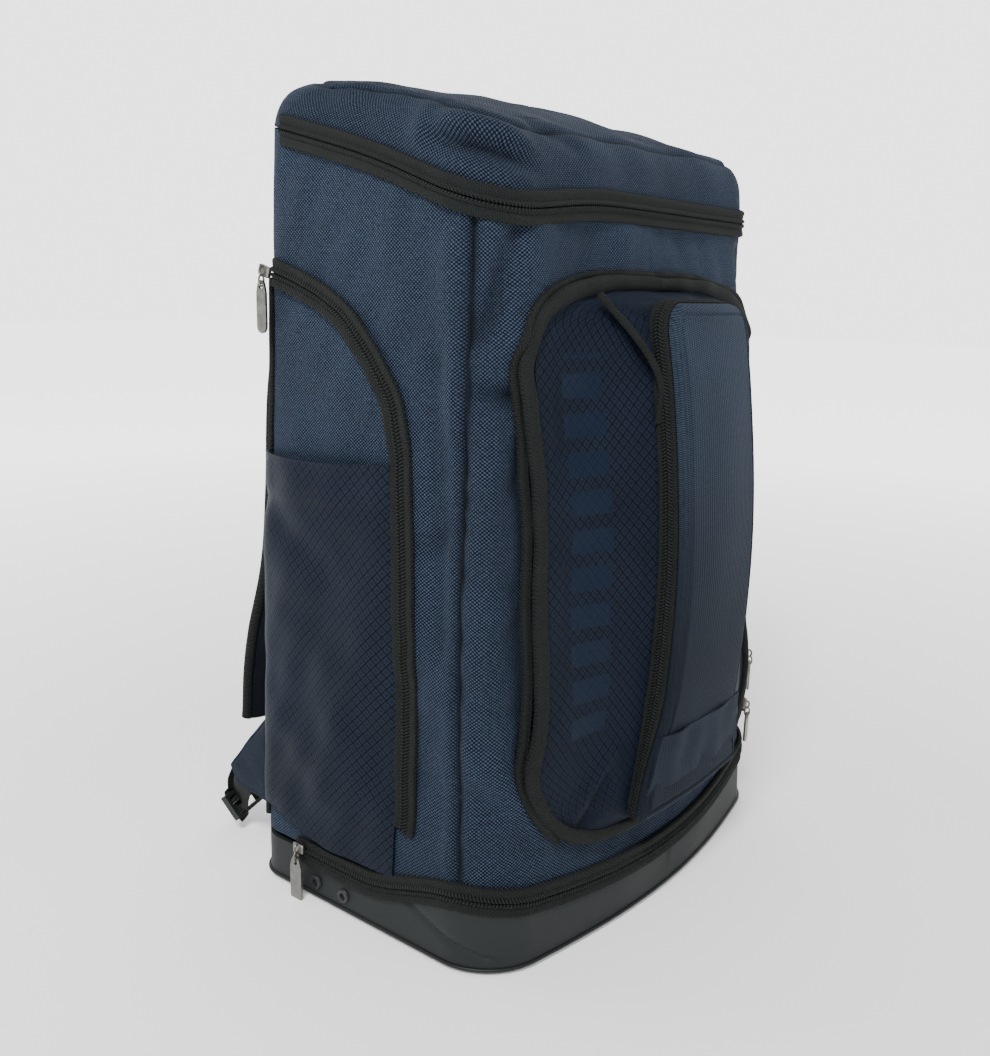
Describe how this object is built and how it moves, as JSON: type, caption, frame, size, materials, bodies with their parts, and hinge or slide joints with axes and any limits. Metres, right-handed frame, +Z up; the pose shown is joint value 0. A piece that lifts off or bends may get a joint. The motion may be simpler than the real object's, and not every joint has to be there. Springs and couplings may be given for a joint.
{
  "type": "sports backpack",
  "caption": "Sports backpack with a zipped top lid, a separate shoe base, side access flaps with pockets, a front panel pocket with a raised organiser, and padded straps.",
  "frame": {"origin": "centre of the base's underside", "axes": "+Z up, -Y the front panel, +Y the back and shoulder straps, +X right seen from the front"},
  "size_m": [0.3343, 0.302, 0.4897],
  "materials": {
    "board": "stiff dark grey board",
    "coated_base": "charcoal coated cloth, smooth and slightly shiny",
    "lining": "dark grey plain lining",
    "moulded_black": "moulded black plastic",
    "navy_ripstop": "navy diamond ripstop with a slight sheen",
    "navy_twill": "fine ribbed navy twill",
    "navy_weave": "coarse two-tone navy basket weave, matt",
    "pull_metal": "antiqued silver metal",
    "spacer_mesh": "near-black padded mesh with a soft sheen",
    "webbing": "dark olive-black ribbed tape"
  },
  "bodies": {
    "base": {"base_board": "board", "base_tape_lower": "webbing", "base_tray": "coated_base", "eyelet_left_front": "moulded_black", "eyelet_left_rear": "moulded_black", "eyelet_right_front": "moulded_black", "eyelet_right_rear": "moulded_black"},
    "pack": {"anchor_tab_left": "navy_twill", "anchor_tab_right": "navy_twill", "back_panel": "spacer_mesh", "base_tape_upper": "webbing", "frame_sheet": "board", "front_tape": "webbing", "laptop_sleeve": "lining", "lid_tape_lower": "webbing", "lower_web_left": "webbing", "lower_web_right": "webbing", "main_shell": "navy_weave", "shoe_divider": "lining", "side_pocket_rear_left": "navy_ripstop", "side_pocket_rear_right": "navy_ripstop", "side_tape_outer_left": "webbing", "side_tape_outer_right": "webbing"},
    "lid": {"lid_shell": "navy_weave", "lid_tape_upper": "webbing"},
    "flap_left": {"side_flap_left": "navy_weave", "side_pocket_front_left": "navy_ripstop", "side_tape_inner_left": "webbing"},
    "strap_left": {"ladder_lock_left": "moulded_black", "shoulder_strap_left": "spacer_mesh", "strap_web_left": "webbing"},
    "flap_right": {"side_flap_right": "navy_weave", "side_pocket_front_right": "navy_ripstop", "side_tape_inner_right": "webbing"},
    "strap_right": {"ladder_lock_right": "moulded_black", "shoulder_strap_right": "spacer_mesh", "strap_web_right": "webbing"},
    "front": {"front_binding": "webbing", "front_panel": "navy_ripstop", "organiser_tape_rear": "webbing", "organiser_wall": "navy_twill"},
    "organiser": {"organiser_band": "navy_twill", "organiser_face": "navy_twill", "organiser_tape_front": "webbing"},
    "handle": {"haul_handle": "webbing"},
    "base_zip_slider": {"base_zip_slider": "pull_metal"},
    "base_zip_pull": {"base_zip_pull": "pull_metal"},
    "side_zip_left_slider": {"side_zip_left_slider": "pull_metal"},
    "side_zip_left_pull": {"side_zip_left_pull": "pull_metal"},
    "side_zip_right_slider": {"side_zip_right_slider": "pull_metal"},
    "side_zip_right_pull": {"side_zip_right_pull": "pull_metal"},
    "lid_zip_rear_slider": {"lid_zip_rear_slider": "pull_metal"},
    "lid_zip_rear_pull": {"lid_zip_rear_pull": "pull_metal"},
    "lid_zip_front_slider": {"lid_zip_front_slider": "pull_metal"},
    "lid_zip_front_pull": {"lid_zip_front_pull": "pull_metal"},
    "front_zip_upper_slider": {"front_zip_upper_slider": "pull_metal"},
    "front_zip_upper_pull": {"front_zip_upper_pull": "pull_metal"},
    "front_zip_lower_slider": {"front_zip_lower_slider": "pull_metal"},
    "front_zip_lower_pull": {"front_zip_lower_pull": "pull_metal"},
    "organiser_zip_slider": {"organiser_zip_slider": "pull_metal"}
  },
  "joints": [
    {"name": "base_hinge", "type": "hinge", "parent": "base", "child": "pack", "pos_m": [0, 0.0957, 0.029], "axis": [-1, 0, 0], "range_deg": [0, 20]},
    {"name": "lid_hinge", "type": "hinge", "parent": "pack", "child": "lid", "pos_m": [0, 0.0962, 0.45908], "axis": [-1, 0, 0], "range_deg": [0, 105]},
    {"name": "flap_left_hinge", "type": "hinge", "parent": "pack", "child": "flap_left", "pos_m": [-0.15744, -0.032, 0.07], "axis": [-0.0342, -0.3514, -0.9356], "range_deg": [0, 22]},
    {"name": "strap_left_hinge", "type": "hinge", "parent": "pack", "child": "strap_left", "pos_m": [-0.068, 0.1, 0.436], "axis": [1, 0, 0], "range_deg": [0, 12]},
    {"name": "flap_right_hinge", "type": "hinge", "parent": "pack", "child": "flap_right", "pos_m": [0.15744, -0.032, 0.07], "axis": [-0.0342, 0.3514, 0.9356], "range_deg": [0, 22]},
    {"name": "strap_right_hinge", "type": "hinge", "parent": "pack", "child": "strap_right", "pos_m": [0.068, 0.1, 0.436], "axis": [1, 0, 0], "range_deg": [0, 12]},
    {"name": "handle_hinge", "type": "hinge", "parent": "pack", "child": "handle", "pos_m": [0, 0.0982, 0.4455], "axis": [1, 0, 0], "range_deg": [0, 70]},
    {"name": "front_hinge", "type": "hinge", "parent": "pack", "child": "front", "pos_m": [0, -0.11219, 0.0565], "axis": [1, 0, 0], "range_deg": [0, 50]},
    {"name": "organiser_hinge", "type": "hinge", "parent": "front", "child": "organiser", "pos_m": [0, -0.12825, 0.068], "axis": [1, 0, 0], "range_deg": [0, 60]},
    {"name": "base_zip_slide", "type": "slide", "parent": "base", "child": "base_zip_slider", "axis": [0, -1, 0], "range_m": [0, 0.045]},
    {"name": "base_zip_pull_hinge", "type": "hinge", "parent": "base_zip_slider", "child": "base_zip_pull", "pos_m": [-0.16684, 0.05, 0.0243], "axis": [0, 1, 0], "range_deg": [0, 110]},
    {"name": "side_zip_left_slide", "type": "slide", "parent": "pack", "child": "side_zip_left_slider", "axis": [0, -0.9517, -0.307], "range_m": [0, 0.005]},
    {"name": "side_zip_left_pull_hinge", "type": "hinge", "parent": "side_zip_left_slider", "child": "side_zip_left_pull", "pos_m": [-0.15408, 0.0845, 0.3688], "axis": [0, 1, 0], "range_deg": [0, 110]},
    {"name": "side_zip_right_slide", "type": "slide", "parent": "pack", "child": "side_zip_right_slider", "axis": [0, -0.9517, -0.307], "range_m": [0, 0.005]},
    {"name": "side_zip_right_pull_hinge", "type": "hinge", "parent": "side_zip_right_slider", "child": "side_zip_right_pull", "pos_m": [0.15408, 0.0845, 0.3688], "axis": [0, -1, 0], "range_deg": [0, 110]},
    {"name": "lid_zip_rear_slide", "type": "slide", "parent": "pack", "child": "lid_zip_rear_slider", "axis": [0, 0.9704, 0.2416], "range_m": [0, 0.035]},
    {"name": "lid_zip_front_slide", "type": "slide", "parent": "pack", "child": "lid_zip_front_slider", "axis": [0, -0.9704, -0.2416], "range_m": [0, 0.05]},
    {"name": "lid_zip_rear_pull_hinge", "type": "hinge", "parent": "lid_zip_rear_slider", "child": "lid_zip_rear_pull", "pos_m": [0.15204, 0.036, 0.43551], "axis": [0, -1, 0], "range_deg": [0, 110]},
    {"name": "lid_zip_front_pull_hinge", "type": "hinge", "parent": "lid_zip_front_slider", "child": "lid_zip_front_pull", "pos_m": [0.15219, 0.02, 0.43153], "axis": [0, -1, 0], "range_deg": [0, 110]},
    {"name": "front_zip_upper_slide", "type": "slide", "parent": "pack", "child": "front_zip_upper_slider", "axis": [0.0163, 0.0874, 0.996], "range_m": [0, 0.025]},
    {"name": "front_zip_upper_pull_hinge", "type": "hinge", "parent": "front_zip_upper_slider", "child": "front_zip_upper_pull", "pos_m": [0.141, -0.09834, 0.10491], "axis": [-0.8571, -0.5151, 0], "range_deg": [0, 110]},
    {"name": "front_zip_lower_slide", "type": "slide", "parent": "pack", "child": "front_zip_lower_slider", "axis": [-0.6431, -0.1612, -0.7486], "range_m": [0, 0.01]},
    {"name": "front_zip_lower_pull_hinge", "type": "hinge", "parent": "front_zip_lower_slider", "child": "front_zip_lower_pull", "pos_m": [0.12539, -0.10645, 0.07159], "axis": [-0.9864, -0.1641, 0], "range_deg": [0, 110]},
    {"name": "organiser_zip_slide", "type": "slide", "parent": "front", "child": "organiser_zip_slider", "axis": [0, 0, -1], "range_m": [0, 0.04]}
  ]
}
